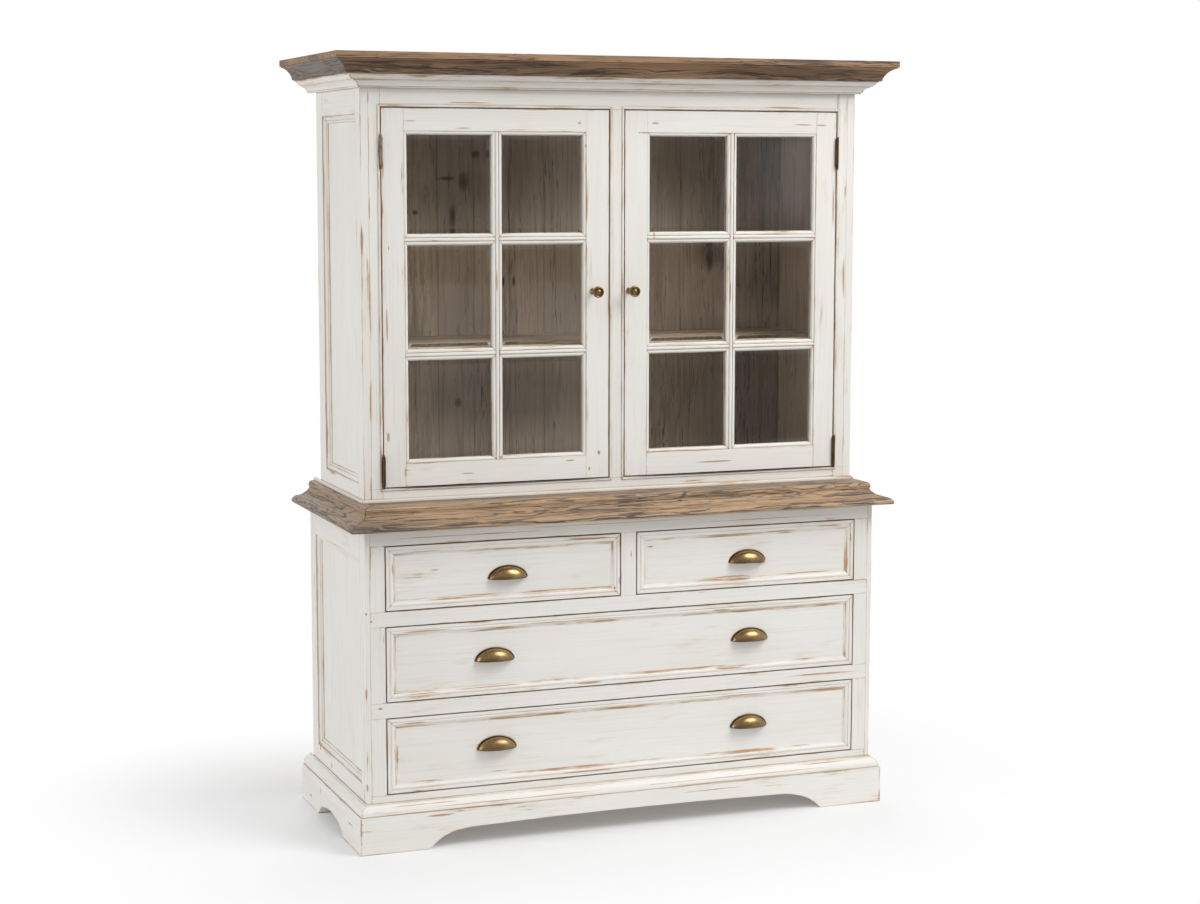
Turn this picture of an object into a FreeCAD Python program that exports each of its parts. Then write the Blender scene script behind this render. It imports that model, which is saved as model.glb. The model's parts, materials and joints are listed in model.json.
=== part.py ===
import FreeCAD, Part
import math
import os

# A two-part farmhouse dresser in millimetres: a base with four drawers on bracket feet, a moulded
# wooden waist, and a hutch with two glazed doors under a crown.
# X runs left to right, -Y is the front, +Z is up. The origin is on the floor, under the middle of
# the overall box.

# ---- driving dimensions -------------------------------------------------------------------------
total_height = 2100.0
total_depth = 652.0              # wall side of the waist and crown to the nose of the waist
wall_y = total_depth / 2         # every "reach" below is measured forward from this plane

base_width = 1486.0
base_reach = 605.0
base_gap = 30.0                  # the base's back stands this far off the wall plane
plinth_lip = 26.0                # plinth beyond the base, front and sides
plinth_top = 101.0
plinth_thick = 34.0
plinth_cap_top = 131.0
foot_length = 189.0              # a bracket foot along the front, measured at the floor
apron_rise = 56.0                # height of the front arch at its middle
side_foot_length = 180.0
side_rise = 42.0

waist_lip = 47.0                 # waist nose beyond the base
waist_bottom = 863.0
waist_top = 922.0
waist_edge_width = 90.0          # width of the moulded border of the waist
waist_board_thick = 22.0

hutch_width = 1436.0
hutch_reach = 513.0
hutch_gap = 60.0                 # the hutch's back stands this far off the wall plane
crown_lip_side = 88.0
crown_lip_front = 100.0
crown_slab_thick = 17.0
crown_bottom = 2046.0            # brown crown above, painted cornice below
cornice_bottom = 2011.0

frame_thick = 22.0               # face frames, side frames and door frames
panel_thick = 8.0
panel_recess = 14.0
back_thick = 14.0

base_stile = 54.0                # face stile, seen from the front
base_corner_strip = 13.0         # the part of it that runs past the ends of the rails
centre_stile = 44.0
base_side_back_stile = 58.0
base_side_front_stile = 31.0
base_side_top_rail_z = 781.0
base_side_low_rail_z = 177.0
drawer_rows = {                  # opening bottom and top
    "top": (644.5, 820.0),
    "middle": (399.5, 604.5),
    "bottom": (151.0, 359.0),
}
drawer_gap = 3.0
drawer_front_thick = 17.0
drawer_moulding_width = 27.0
drawer_moulding_rise = 5.0
drawer_box_depth = 505.0
drawer_side_thick = 12.0
drawer_bottom_thick = 6.0
drawer_bottom_raise = 10.0
runner_thick = 18.0
runner_width = 70.0
guide_height = 20.0
slide_clearance = 0.5

hutch_stile = 53.4               # face stile and the side's edge together
hutch_centre_stile = 41.4
hutch_opening = (959.0, 1962.5)
hutch_side_back_stile = 60.0
hutch_side_front_stile = 48.0    # its front edge shows beside the face frame
hutch_side_rail_z = (969.0, 1944.0)
hutch_floor_z = (938.0, 956.0)
hutch_ceiling_z = (2065.0, 2083.0)
shelf_thick = 22.0
shelf_tops = {"lower": 1330.0, "upper": 1618.0}
shelf_front_reach = 470.0
plank_count = 13
foot_strip_lip = 7.0
foot_strip_height = 9.0

door_gap = 3.0
sight_outer = 590.5              # edges of the seen glass, from the middle of the hutch
sight_inner = 99.0
sight_bottom = 1034.0
sight_top = 1890.5
bar_x = 343.0                    # middle of the upright glazing bar
bar_z = (1312.0, 1616.0)
bar_face = 11.0
sticking_width = 10.0
sticking_depth = 10.0
glass_thick = 4.0
glass_bevel_width = 12.0
glass_bevel_depth = 1.6

hinge_height = 76.0
hinge_z = (1004.0, 1846.0)       # middle of each hinge
knuckle_radius = 4.5
knuckle_proud = 4.6              # hinge axis in front of the door's face
knuckle_gap = 0.3
knuckle_facets = 20
pin_radius = 2.0
pin_clearance = 0.05
finial_length = 7.0
finial_ball = 2.2
finial_facets = 10
leaf_thick = 1.2
leaf_width = 19.5
bead_width = 7.0
bead_rise = 3.5

knob_z = 1472.0
knob_length = 50.0
knob_back_radius = 17.5
knob_face_radius = 18.3
knob_facets = 26
knob_x = {"left": -70.4, "right": 35.6}
pull_half_length = 54.0
pull_height = 33.0
pull_reach = 27.0
pull_wall = 2.0
pull_flange = 2.0
pull_steps = 12                  # facets of a pull along its length, and from front to top
pull_facets = 5
pull_places = {                  # middle of each pull and the height of its lower edge
    "top_left": [(-347.0, 714.0)],
    "top_right": [(357.0, 716.0)],
    "middle": [(-385.0, 493.0), (366.0, 494.0)],
    "bottom": [(-380.0, 250.0), (365.0, 247.0)],
}

# ---- sizes worked out from them -----------------------------------------------------------------
base_half = base_width / 2
base_front = wall_y - base_reach
base_back = wall_y - base_gap
plinth_half = base_half + plinth_lip
plinth_front = base_front - plinth_lip
waist_half = base_half + waist_lip
waist_front = base_front - waist_lip
hutch_half = hutch_width / 2
hutch_front = wall_y - hutch_reach
hutch_back = wall_y - hutch_gap
crown_half = hutch_half + crown_lip_side
crown_front = hutch_front - crown_lip_front
crown_slab_bottom = total_height - crown_slab_thick
door_face = hutch_front
door_back = hutch_front + frame_thick
door_x = (hutch_centre_stile / 2 + door_gap, hutch_half - hutch_stile - door_gap)
door_z = (hutch_opening[0] + door_gap, hutch_opening[1] - door_gap)
hinge_x = hutch_half - hutch_stile - door_gap / 2
hinge_y = door_face - knuckle_proud
drawer_face = base_front + drawer_moulding_rise
drawer_columns = {
    "top_left": (-base_half + base_stile, -centre_stile / 2),
    "top_right": (centre_stile / 2, base_half - base_stile),
    "middle": (-base_half + base_stile, base_half - base_stile),
    "bottom": (-base_half + base_stile, base_half - base_stile),
}

small_arc = 14.0                 # arcs shorter than this are drawn with fewer flats

UP = FreeCAD.Vector(0, 0, 1)
RIGHT = FreeCAD.Vector(1, 0, 0)
REARWARD = FreeCAD.Vector(0, 1, 0)


# ---- building blocks ----------------------------------------------------------------------------
def box(x0, x1, y0, y1, z0, z1):
    """Block between two opposite corners."""
    return Part.makeBox(x1 - x0, y1 - y0, z1 - z0, FreeCAD.Vector(x0, y0, z0))


def mirrored(shape):
    """The same shape on the other side of the middle plane."""
    return shape.mirror(FreeCAD.Vector(0, 0, 0), RIGHT)


def outline(points, lift):
    """Closed face from plan points; a point with four numbers is an arc's middle and its end."""
    edges = []
    here = lift(*points[0])
    for point in points[1:] + points[:1]:
        there = lift(*point[-2:])
        if len(point) == 4:
            edges.append(Part.Arc(here, lift(*point[:2]), there).toShape())
        elif here.distanceToPoint(there) > 1e-6:
            edges.append(Part.LineSegment(here, there).toShape())
        here = there
    return Part.Face(Part.Wire(edges))


def flattened(section):
    """The section with each arc drawn as a few flats, which keeps repeated pieces light."""
    points = []
    here = section[0]
    for point in section:
        if len(point) == 4:
            through = [FreeCAD.Vector(*pair, 0) for pair in (here, point[:2], point[2:])]
            arc = Part.Arc(*through).toShape()
            flats = 3 if arc.Length < small_arc else 5
            steps = arc.discretize(flats + 1)
            points += [(step.x, step.y) for step in steps[1:]]
        else:
            points.append(point)
        here = point[-2:]
    return points


def moulding(section, length, mitre_start=True, mitre_end=True):
    """A run along local X. The section's first number goes inward along local Y, its second up."""
    section = flattened(section)
    face = outline(section, lambda inward, height: FreeCAD.Vector(0, inward, height))
    run = face.extrude(RIGHT * length)
    inner = max(point[0] for point in section) + 1
    low = min(point[1] for point in section) - 1
    high = max(point[1] for point in section) + 1
    for mitred, end, away in ((mitre_start, 0.0, -1.0), (mitre_end, length, 1.0)):
        if mitred:
            corners = [(end + away, -1.0), (end - away * inner, inner), (end + away, inner)]
            wedge = outline(corners, lambda along, inward: FreeCAD.Vector(along, inward, low))
            run = run.cut(wedge.extrude(UP * (high - low)))
    return run


def placed(shape, origin, along, inward):
    """Move a local run or frame so that local X and Y point as given."""
    upward = along.cross(inward)
    matrix = FreeCAD.Matrix(
        along.x, inward.x, upward.x, origin.x,
        along.y, inward.y, upward.y, origin.y,
        along.z, inward.z, upward.z, origin.z,
        0, 0, 0, 1)
    moved = shape.copy()
    moved.Placement = FreeCAD.Placement(matrix).multiply(shape.Placement)
    return moved


def mitred_frame(section, x0, x1, z0, z1, y, face="front"):
    """Four mitred runs round a rectangle on an upright face; the section rises out of the face."""
    width = x1 - x0
    height = z1 - z0
    runs = []
    corners = ((0, 0), (width, 0), (width, height), (0, height))
    for turn, (corner_x, corner_y) in enumerate(corners):
        run = moulding(section, width if turn % 2 == 0 else height)
        run.rotate(FreeCAD.Vector(0, 0, 0), UP, 90 * turn)
        run.translate(FreeCAD.Vector(corner_x, corner_y, 0))
        runs.append(run)
    frames = {
        "front": (FreeCAD.Vector(x0, y, z0), RIGHT),
        "left": (FreeCAD.Vector(y, x1, z0), -REARWARD),
        "right": (FreeCAD.Vector(y, x0, z0), REARWARD),
    }
    origin, along = frames[face]
    return [placed(run, origin, along, UP) for run in runs]


def three_sides(section, half, front, back=wall_y):
    """Front, left and right runs of a moulding, mitred at the two front corners."""
    depth = back - front
    left = placed(moulding(section, depth, False, True), FreeCAD.Vector(-half, back, 0), -REARWARD, RIGHT)
    ahead = placed(moulding(section, 2 * half), FreeCAD.Vector(-half, front, 0), RIGHT, REARWARD)
    right = placed(moulding(section, depth, True, False), FreeCAD.Vector(half, front, 0), REARWARD, -RIGHT)
    return [left, ahead, right]


def faceted(rings):
    """Solid in flat facets between matching rings of points; a ring of one point closes an end."""
    faces = []
    for first, second in zip(rings, rings[1:]):
        for index in range(max(len(first), len(second))):
            corners = [ring[(index + step) % len(ring)] for ring, step in ((first, 0), (first, 1))]
            corners += [ring[(index + step) % len(ring)] for ring, step in ((second, 1), (second, 0))]
            loop = [corner for place, corner in enumerate(corners) if corner != corners[place - 1]]
            faces.append(Part.Face(Part.makePolygon(loop + loop[:1])))
    for end in (rings[0], rings[-1]):
        if len(end) > 1:
            faces.append(Part.Face(Part.makePolygon(end + end[:1])))
    return Part.Solid(Part.Shell(faces))


def turned(profile, origin, axis, side, count):
    """Faceted turning from a profile of (distance out, distance along), which starts off the axis."""
    rings = []
    for out, along in flattened(profile):
        ring = [origin + axis * along]
        if out > 1e-6:
            ring = []
            for step in range(count):
                turn = 2 * math.pi * step / count
                spoke = side * math.cos(turn) + axis.cross(side) * math.sin(turn)
                ring.append(origin + axis * along + spoke * out)
        rings.append(ring)
    return faceted(rings)


def write(name, solids):
    """One sub-part, as one file."""
    Part.makeCompound(solids).exportStep("parts/" + name + ".step")


# ---- plinth -------------------------------------------------------------------------------------
def arch(half_span, rise, shoulder, ease):
    """Lower edge between two bracket feet: a steep shoulder at each foot and a shallow crown."""
    knee = (half_span - ease, rise * 0.78)
    side = [
        (half_span, -1.0),
        (half_span - ease * 0.36, rise * 0.42, *knee),
        (half_span - ease - shoulder * 0.5, rise * 0.87, half_span - ease - shoulder, rise * 0.9),
    ]
    end_x, end_z = side[-1][-2:]
    return side + [(0.0, rise, -end_x, end_z), (-side[-1][0], side[-1][1], -knee[0], knee[1]),
                   (-side[1][0], side[1][1], -half_span, -1.0)]


def plinth_boards():
    board = [(0, 0), (plinth_thick, 0), (plinth_thick, plinth_top), (0, plinth_top)]
    left, front, right = three_sides(board, plinth_half, plinth_front)
    front_arch = outline(
        arch(plinth_half - foot_length, apron_rise, shoulder=64.0, ease=78.0),
        lambda across, height: FreeCAD.Vector(across, plinth_front - 1, height))
    front = front.cut(front_arch.extrude(REARWARD * (plinth_thick + 2)))
    side_middle = wall_y - (wall_y - plinth_front) / 2
    side_span = (wall_y - plinth_front) / 2 - side_foot_length
    side_arch = outline(
        arch(side_span, side_rise, shoulder=36.0, ease=62.0),
        lambda across, height: FreeCAD.Vector(-plinth_half - 1, side_middle + across, height))
    cutter = side_arch.extrude(RIGHT * (plinth_thick + 2))
    write("plinth_front", [front])
    write("plinth_side_left", [left.cut(cutter)])
    write("plinth_side_right", [right.cut(mirrored(cutter))])


def plinth_inside():
    inner_x = plinth_half - plinth_thick
    inner_front = plinth_front + plinth_thick
    block = 52.0
    block_top = plinth_top - 6
    rail = box(-inner_x, inner_x, base_back - frame_thick, base_back, 40.0, plinth_top)
    blocks = []
    for y0 in (inner_front, base_back - frame_thick - block):
        corner = box(-inner_x, -inner_x + block, y0, y0 + block, 0, block_top)
        blocks += [corner, mirrored(corner)]
    write("plinth_rail_and_blocks", [rail] + blocks)


def plinth_cap():
    ledge = 4.0
    section = [
        (ledge, plinth_top), (plinth_lip, plinth_top), (plinth_lip, plinth_cap_top),
        (plinth_lip - 4, plinth_cap_top), (plinth_lip - 4, plinth_cap_top - 3),
        (ledge + 5.5, plinth_cap_top - 11, ledge, plinth_top + 7),
    ]
    write("plinth_cap_moulding", three_sides(section, plinth_half, plinth_front))


# ---- panelled sides -----------------------------------------------------------------------------
def panelled_side(half, front, back, front_stile, back_stile, bottom, low_rail, top_rail, top):
    """Left side: two stiles, two rails, and a panel set in a rebate on the inside."""
    outer = -half
    inner = outer + frame_thick
    field_front = front + front_stile
    field_back = back - back_stile
    stiles = [
        box(outer, inner, front, field_front, bottom, top),
        box(outer, inner, field_back, back, bottom, top),
    ]
    rails = [
        box(outer, inner, field_front, field_back, bottom, low_rail),
        box(outer, inner, field_front, field_back, top_rail, top),
    ]
    lap = 8.0
    panel = box(inner - panel_thick, inner, field_front - lap, field_back + lap, low_rail - lap, top_rail + lap)
    members = [piece.cut(panel) for piece in stiles + rails]
    bead = panel_bead(field_front, field_back, low_rail, top_rail, outer + panel_recess)
    return members + [panel], bead


def panel_bead(y0, y1, z0, z1, face_x):
    """Mitred moulding round a side panel: a flat, an ovolo and a small bead down to the panel."""
    section = [
        (0, 0), (0, 11), (3, 11), (3.5, 9.5), (9, 8.2, 11.5, 3.5), (12.5, 3.5), (15.5, 4.2, 18.5, 1.0), (18.5, 0),
    ]
    return mitred_frame(section, y0, y1, z0, z1, face_x, "left")


def base_sides():
    return panelled_side(
        base_half, base_front + frame_thick, base_back, base_side_front_stile, base_side_back_stile,
        plinth_top, base_side_low_rail_z, base_side_top_rail_z, waist_bottom)


def hutch_sides():
    return panelled_side(
        hutch_half, hutch_front, hutch_back, hutch_side_front_stile, hutch_side_back_stile,
        waist_top, hutch_side_rail_z[0], hutch_side_rail_z[1], crown_slab_bottom)


def sides():
    beads = []
    for name, (members, bead) in (("base_side", base_sides()), ("hutch_side", hutch_sides())):
        write(name + "_left", members)
        write(name + "_right", [mirrored(piece) for piece in members])
        beads += bead + [mirrored(piece) for piece in bead]
    write("side_panel_mouldings", beads)


# ---- base ---------------------------------------------------------------------------------------
def base_face_frame():
    """Rails that run through between two corner strips, with the stiles set in between them."""
    back = base_front + frame_thick
    stile_inner = base_half - base_stile
    rail_half = base_half - base_corner_strip
    strip = box(-base_half, -rail_half, base_front, back, plinth_top, waist_bottom)
    pieces = [strip, mirrored(strip)]
    levels = [
        (plinth_top, drawer_rows["bottom"][0]),
        (drawer_rows["bottom"][1], drawer_rows["middle"][0]),
        (drawer_rows["middle"][1], drawer_rows["top"][0]),
        (drawer_rows["top"][1], waist_bottom),
    ]
    for low, high in levels:
        pieces.append(box(-rail_half, rail_half, base_front, back, low, high))
    for low, high in drawer_rows.values():
        stile = box(-rail_half, -stile_inner, base_front, back, low, high)
        pieces += [stile, mirrored(stile)]
    pieces.append(box(-centre_stile / 2, centre_stile / 2, base_front, back, *drawer_rows["top"]))
    write("base_face_frame", pieces)


def base_inside():
    inner = base_half - frame_thick
    front = base_front + frame_thick
    back = base_back - 10
    floor = box(-inner, inner, front, back, drawer_rows["bottom"][0] - runner_thick, drawer_rows["bottom"][0])
    write("base_floor", [floor])
    write("base_back_panel", [box(-inner, inner, back, base_back, plinth_top, waist_bottom)])
    write("base_top_board", [box(-inner, inner, front, back, waist_bottom - runner_thick, waist_bottom)])
    runners = []
    guide_inner = base_half - base_stile - 1.5
    for row in ("top", "middle", "bottom"):
        level = drawer_rows[row][0]
        if row != "bottom":
            runner = box(-inner, -inner + runner_width, front, back, level - runner_thick, level)
            runners += [runner, mirrored(runner)]
        guide = box(-inner, -guide_inner, front, back, level, level + guide_height)
        runners += [guide, mirrored(guide)]
    top = drawer_rows["top"][0]
    runners.append(box(-runner_width / 2, runner_width / 2, front, back, top - runner_thick, top))
    runners.append(box(-centre_stile / 2 + 1.5, centre_stile / 2 - 1.5, front, back, top, top + guide_height))
    write("drawer_runners", runners)


# ---- drawers ------------------------------------------------------------------------------------
def quarter_egg(inset):
    """Solid quarter of an egg in flat facets; every ring is the widest one drawn smaller."""
    length = pull_half_length - inset
    rings = []
    for step in range(pull_steps + 1):
        turn = math.pi * step / pull_steps
        size = math.sin(turn)
        middle = FreeCAD.Vector(-length * math.cos(turn), 0, 0)
        ring = [middle]
        if 0 < step < pull_steps:
            for facet in range(pull_facets + 1):
                lean = math.pi / 2 * facet / pull_facets
                reach = (pull_reach - inset) * size * math.cos(lean)
                rise = (pull_height - inset) * size * math.sin(lean)
                ring.append(middle + UP * rise - REARWARD * reach)
        rings.append(ring)
    return faceted(rings)


def pull_rim():
    """Thin half-ring behind the shell that lies on the drawer's face."""
    def half_ring(length, rise):
        turns = [math.pi * step / pull_steps for step in range(pull_steps + 1)]
        return [(-length * math.cos(turn), rise * math.sin(turn)) for turn in turns]

    outer = half_ring(pull_half_length + pull_flange, pull_height + pull_flange)
    inner = half_ring(pull_half_length - pull_wall, pull_height - pull_wall)
    face = outline(outer + inner[::-1], lambda across, height: FreeCAD.Vector(across, -pull_wall, height))
    return face.extrude(REARWARD * pull_wall)


def cup_pull(centre_x, lower_z):
    """Cup pull: a hollow quarter of an egg, open below, on its rim."""
    shell = quarter_egg(0).cut(quarter_egg(pull_wall))
    pull = shell.fuse(pull_rim()).removeSplitter()
    pull.translate(FreeCAD.Vector(centre_x, drawer_face, lower_z))
    return pull


def drawer(name):
    row = name.split("_")[0]
    x0, x1 = drawer_columns[name]
    z0, z1 = drawer_rows[row]
    left, right = x0 + drawer_gap, x1 - drawer_gap
    low, high = z0 + drawer_gap, z1 - drawer_gap
    back = base_front + frame_thick
    field = box(left, right, drawer_face, back, low, high)
    rise = drawer_moulding_rise
    section = [
        (0, 0), (0, rise), (9, rise), (9.8, rise - 1.3), (14.4, rise + 0.2, 19, rise - 2.2),
        (19.8, rise - 3.0), (22.9, rise - 4.3, drawer_moulding_width, 0),
    ]
    frame = mitred_frame(section, left, right, low, high, drawer_face)
    write("drawer_" + name + "_front", [field] + frame)

    box_low = z0 + slide_clearance
    box_high = z1 - 16
    end = back + drawer_box_depth
    side = drawer_side_thick
    bottom_z = box_low + drawer_bottom_raise
    walls = [
        box(left, left + side, back, end, box_low, box_high),
        box(right - side, right, back, end, box_low, box_high),
        box(left + side, right - side, end - side, end, bottom_z + drawer_bottom_thick, box_high),
    ]
    board = box(left + side, right - side, back, end, bottom_z, bottom_z + drawer_bottom_thick)
    write("drawer_" + name + "_box", walls)
    write("drawer_" + name + "_bottom", [board])
    write("drawer_" + name + "_pull", [cup_pull(*place) for place in pull_places[name]])


# ---- waist --------------------------------------------------------------------------------------
def waist():
    low, high = waist_bottom, waist_top
    edge = [
        (waist_edge_width, low), (2, low), (0, low + 5, 4, low + 12), (8.5, low + 16.4, 15, low + 18.5),
        (38, low + 25.5, 52, low + 39), (52, low + 42), (50.4, low + 51, 59, high), (waist_edge_width, high),
    ]
    write("waist_edge_moulding", three_sides(edge, waist_half, waist_front))
    half = waist_half - waist_edge_width
    front = waist_front + waist_edge_width
    boards = []
    board_count = 4
    board_depth = (wall_y - front) / board_count
    for index in range(board_count):
        y0 = front + index * board_depth
        boards.append(box(-half, half, y0, y0 + board_depth, high - waist_board_thick, high))
    write("waist_boards", boards)
    drop = 8.0
    lip = 5.0
    strip = [(lip, low - drop), (lip, low), (0, low), (0, low - 2.5), (1.6, low - 6.4, lip - 0.8, low - drop)]
    write("waist_under_strip", three_sides(strip, base_half + lip, base_front - lip, base_back))


# ---- hutch --------------------------------------------------------------------------------------
def hutch_face_frame():
    """Stiles and rails between the two sides, whose front edges show."""
    back = hutch_front + frame_thick
    stile_outer = hutch_half - frame_thick
    stile_inner = hutch_half - hutch_stile
    low, high = hutch_opening
    stile = box(-stile_outer, -stile_inner, hutch_front, back, waist_top, crown_slab_bottom)
    centre = box(-hutch_centre_stile / 2, hutch_centre_stile / 2, hutch_front, back, low, high)
    rails = [
        box(-stile_inner, stile_inner, hutch_front, back, waist_top, low),
        box(-stile_inner, stile_inner, hutch_front, back, high, crown_slab_bottom),
    ]
    write("hutch_face_frame", [stile, mirrored(stile), centre] + rails)


def hinge_notches():
    """Room for the hinge knuckles in the beads round the door openings."""
    room = knuckle_radius + 0.8
    notches = []
    for middle in hinge_z:
        half = hinge_height / 2 + finial_length + 1
        notch = box(-hinge_x - room, -hinge_x + room, hinge_y - room, door_face + 0.01, middle - half, middle + half)
        notches += [notch, mirrored(notch)]
    return notches


def opening_beads():
    """Rounded bead planted on the face frame round each door opening."""
    section = [
        (0, 0), (bead_width, 0), (bead_width, 1.0), (bead_width / 2, bead_rise, 0, 1.0),
    ]
    stile_inner = hutch_half - hutch_stile
    grow = bead_width
    x0, x1 = -stile_inner - grow, -hutch_centre_stile / 2 + grow
    z0, z1 = hutch_opening[0] - grow, hutch_opening[1] + grow
    left = mitred_frame(section, x0, x1, z0, z1, hutch_front)
    pieces = left + [mirrored(run) for run in left]
    for notch in hinge_notches():
        pieces = [solid for piece in pieces for solid in piece.cut(notch).Solids]
    write("door_opening_beads", pieces)


def back_planks():
    """Tongued boards, shown by a V at each joint on the inside."""
    half = hutch_half - frame_thick
    width = 2 * half / plank_count
    chamfer = 3.0
    y0 = hutch_back - back_thick
    planks = []
    for index in range(plank_count):
        left = -half + index * width
        right = left + width
        corners = [
            (left, hutch_back), (left, y0 + chamfer), (left + chamfer, y0),
            (right - chamfer, y0), (right, y0 + chamfer), (right, hutch_back),
        ]
        face = outline(corners, lambda across, depth: FreeCAD.Vector(across, depth, waist_top))
        planks.append(face.extrude(UP * (crown_slab_bottom - waist_top)))
    write("hutch_back_planks", planks)


def hutch_boards():
    half = hutch_half - frame_thick
    front = hutch_front + frame_thick
    back = hutch_back - back_thick
    write("hutch_floor", [box(-half, half, front, back, *hutch_floor_z)])
    write("hutch_ceiling", [box(-half, half, front, back, *hutch_ceiling_z)])
    shelf_front = wall_y - shelf_front_reach
    cleat = 20.0
    cleats = []
    for name, top in shelf_tops.items():
        write("hutch_shelf_" + name, [box(-half, half, shelf_front, back, top - shelf_thick, top)])
        level = top - shelf_thick
        batten = box(-half, -half + cleat, shelf_front + cleat, back, level - cleat, level)
        rear = box(-half + cleat, half - cleat, back - cleat, back, level - cleat, level)
        cleats += [batten, mirrored(batten), rear]
    write("shelf_cleats", cleats)


def hutch_foot_strip():
    lip = foot_strip_lip
    low = waist_top
    high = waist_top + foot_strip_height
    section = [(0, low), (lip, low), (lip, high), (lip - 2, high), (1.4, high - 1.6, 0, high - 5)]
    write("hutch_foot_strip", three_sides(section, hutch_half + lip, hutch_front - lip))


# ---- crown --------------------------------------------------------------------------------------
def crown():
    low = crown_bottom
    high = crown_slab_bottom
    inner = crown_lip_front
    body = box(-hutch_half, hutch_half, hutch_front, wall_y + 1, cornice_bottom - 1, total_height)
    cove = [
        (inner, low), (35.5, low), (35.5, low + 3.5), (24.5, high - 14.5, 3.5, high - 2), (3.5, high), (inner, high),
    ]
    write("crown_cove", [run.cut(body) for run in three_sides(cove, crown_half, crown_front)])
    base = cornice_bottom
    cornice = [
        (inner, base), (79, base), (79, base + 4), (75.5, base + 4), (71.5, base + 12.5, 63, base + 17),
        (60.5, base + 17), (60.5, base + 20), (58, base + 20), (52.0, base + 23, 48, base + 28.5),
        (45.5, base + 31.5, 42, base + 32), (42, low), (inner, low),
    ]
    write("painted_cornice", [run.cut(body) for run in three_sides(cornice, crown_half, crown_front)])
    write("crown_top_board", [box(-crown_half, crown_half, crown_front, wall_y, high, total_height)])


# ---- doors --------------------------------------------------------------------------------------
def pane_openings():
    """Glass openings of the left door, to the faces of its frame and bars: (x0, x1, z0, z1)."""
    half = bar_face / 2
    columns = [
        (-sight_outer - sticking_width, -bar_x - half),
        (-bar_x + half, -sight_inner + sticking_width),
    ]
    rows = [
        (sight_bottom - sticking_width, bar_z[0] - half),
        (bar_z[0] + half, bar_z[1] - half),
        (bar_z[1] + half, sight_top + sticking_width),
    ]
    return [(x0, x1, z0, z1) for z0, z1 in rows for x0, x1 in columns]


def door_members():
    outer, inner = -door_x[1], -door_x[0]
    bottom, top = door_z
    openings = pane_openings()
    x0 = min(opening[0] for opening in openings)
    x1 = max(opening[1] for opening in openings)
    z0 = min(opening[2] for opening in openings)
    z1 = max(opening[3] for opening in openings)
    return [
        box(outer, x0, door_face, door_back, bottom, top),
        box(x1, inner, door_face, door_back, bottom, top),
        box(x0, x1, door_face, door_back, bottom, z0),
        box(x0, x1, door_face, door_back, z1, top),
    ], (x0, x1, z0, z1)


def glazing_bar(length):
    """A bar along local X with a rounded front, its middle on the local X axis."""
    half = bar_face / 2
    section = [(-half, -frame_thick), (half, -frame_thick), (half, -3.0), (0, 0, -half, -3.0)]
    return moulding(section, length, False, False)


def door_bars(limits):
    x0, x1, z0, z1 = limits
    half = bar_face / 2
    upright = placed(glazing_bar(z1 - z0), FreeCAD.Vector(-bar_x, door_face, z0), UP, -RIGHT)
    bars = [upright]
    for level in bar_z:
        for start, stop in ((x0, -bar_x - half), (-bar_x + half, x1)):
            bars.append(placed(glazing_bar(stop - start), FreeCAD.Vector(start, door_face, level), RIGHT, UP))
    return bars


def door_glass_and_beads():
    """Bevelled panes between the moulding in front and a plain bead behind."""
    front_section = [
        (0, 0), (0, sticking_depth - 1.5), (1.6, sticking_depth - 1.5),
        (7.4, 7.2, 8.6, 1.8), (sticking_width, 1.8), (sticking_width, 0),
    ]
    glass_front = door_face + sticking_depth
    glass_back = glass_front + glass_thick
    rear_depth = door_back - glass_back
    rear_section = [(0, 0), (sticking_width - 1, 0), (sticking_width - 1, rear_depth), (0, rear_depth)]
    fit = 0.5
    panes, beads = [], []
    for x0, x1, z0, z1 in pane_openings():
        beads += mitred_frame(front_section, x0, x1, z0, z1, glass_front)
        beads += mitred_frame(rear_section, x0, x1, z0, z1, door_back)
        panes.append(bevelled_pane(x0 + fit, x1 - fit, z0 + fit, z1 - fit, glass_front, glass_back))
    return panes, beads


def bevelled_pane(x0, x1, z0, z1, front, back):
    """Flat glass whose seen edge slopes back to a thin rim."""
    rim = sticking_width + 0.2
    inset = rim + glass_bevel_width
    slab = box(x0, x1, front + glass_bevel_depth, back, z0, z1)

    def loop(gap, y):
        corners = [(x0 + gap, z0 + gap), (x1 - gap, z0 + gap), (x1 - gap, z1 - gap), (x0 + gap, z1 - gap)]
        return Part.makePolygon([FreeCAD.Vector(x, y, z) for x, z in corners + corners[:1]])

    raised = Part.makeLoft([loop(rim, front + glass_bevel_depth), loop(inset, front)], True, True)
    return slab.fuse(raised).removeSplitter()


def hinge_leaf(middle, own, other, plate_x0, plate_x1):
    """Leaf of a left-door hinge: a plate, its own knuckles, and nothing where the other's are."""
    bottom = middle - hinge_height / 2
    pitch = hinge_height / (len(own) + len(other))
    back = hinge_y + knuckle_radius + 0.3
    leaf = box(plate_x0, plate_x1, back, back + leaf_width, bottom, bottom + hinge_height)
    for place in own:
        low = bottom + place * pitch + knuckle_gap / 2
        tall = pitch - knuckle_gap
        barrel = [(knuckle_radius, 0), (knuckle_radius, tall)]
        leaf = leaf.fuse(turned(barrel, FreeCAD.Vector(-hinge_x, hinge_y, low), UP, RIGHT, knuckle_facets))
        leaf = leaf.fuse(box(plate_x0, plate_x1, hinge_y, back, low, low + tall))
    bore = Part.makeCylinder(
        pin_radius + pin_clearance, hinge_height + 2, FreeCAD.Vector(-hinge_x, hinge_y, bottom - 1))
    return leaf.cut(bore).removeSplitter()


def on_ball(radius, centre, angle):
    """Point of a turned profile on a ball about the axis: distance out, then distance along."""
    turn = math.radians(angle)
    return (radius * math.cos(turn), centre + radius * math.sin(turn))


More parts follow.
